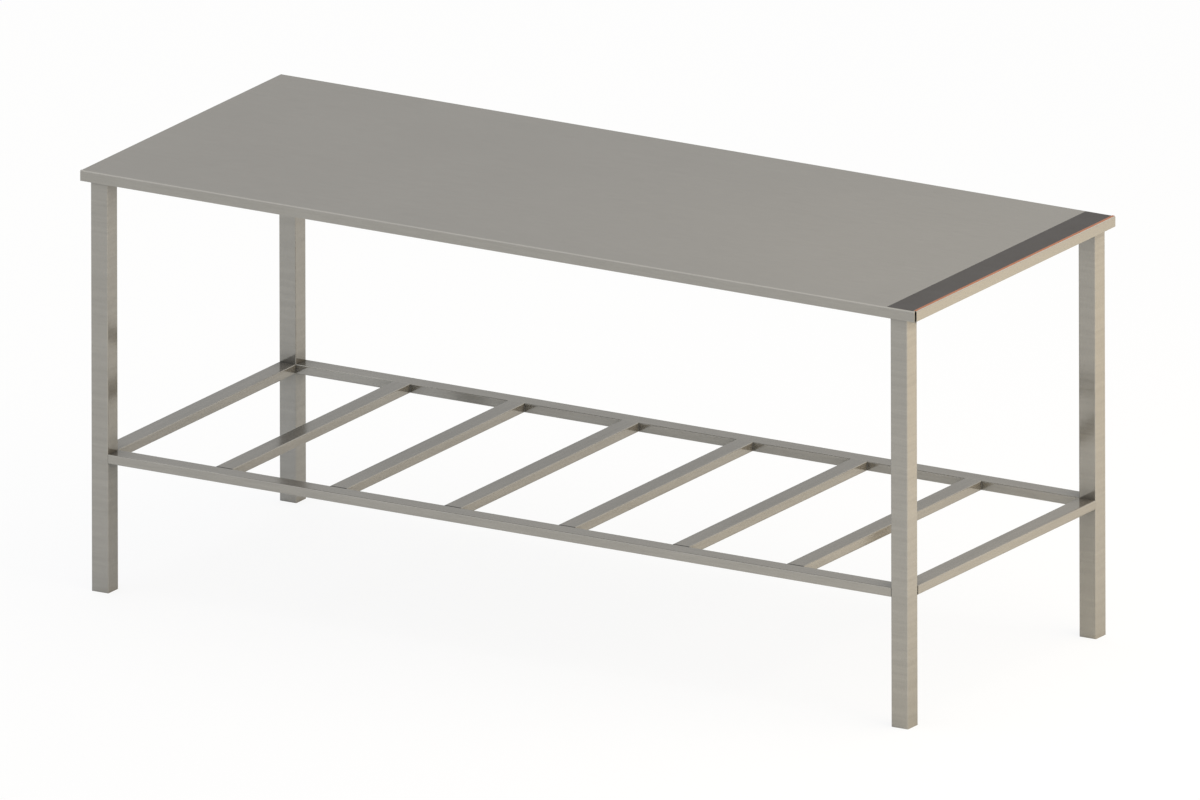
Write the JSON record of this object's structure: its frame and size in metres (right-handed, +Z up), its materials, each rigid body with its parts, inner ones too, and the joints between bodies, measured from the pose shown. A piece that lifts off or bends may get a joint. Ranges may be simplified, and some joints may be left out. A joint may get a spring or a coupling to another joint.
{
  "type": "work table",
  "caption": "Welded stainless steel work table: folded sheet top with turned-down lips on a hidden tube frame, square-tube legs and a low open shelf of flat tube slats.",
  "frame": {"origin": "on the floor, under the middle of the top", "axes": "+X along the length towards the end with the dark strip, +Y from the front to the back, +Z up"},
  "size_m": [2, 0.8, 0.9002],
  "materials": {
    "top_steel": "brushed along the length",
    "leg_steel": "brushed across the tube",
    "shelf_steel": "brushed along the tube",
    "frame_steel": "mill finish",
    "fixing_steel": "bright",
    "strip_film": "satin film",
    "line_film": "satin film"
  },
  "bodies": {
    "root": {"top_sheet": "top_steel", "end_strip": "strip_film", "edge_line": "line_film", "leg_front_left": "leg_steel", "foot_plate_front_left": "leg_steel", "leg_front_right": "leg_steel", "foot_plate_front_right": "leg_steel", "leg_back_left": "leg_steel", "foot_plate_back_left": "leg_steel", "leg_back_right": "leg_steel", "foot_plate_back_right": "leg_steel", "shelf_rail_front": "shelf_steel", "shelf_rail_back": "shelf_steel", "shelf_end_rail_left": "shelf_steel", "shelf_end_rail_right": "shelf_steel", "slat_1": "shelf_steel", "slat_2": "shelf_steel", "slat_3": "shelf_steel", "slat_4": "shelf_steel", "slat_5": "shelf_steel", "slat_6": "shelf_steel", "top_rail_front": "frame_steel", "top_rail_back": "frame_steel", "top_end_rail_left": "frame_steel", "top_end_rail_right": "frame_steel", "top_cross_bar_1": "frame_steel", "top_cross_bar_2": "frame_steel", "top_cross_bar_3": "frame_steel", "weld_studs": "fixing_steel", "stud_washers": "fixing_steel", "stud_nuts": "fixing_steel"}
  },
  "joints": []
}
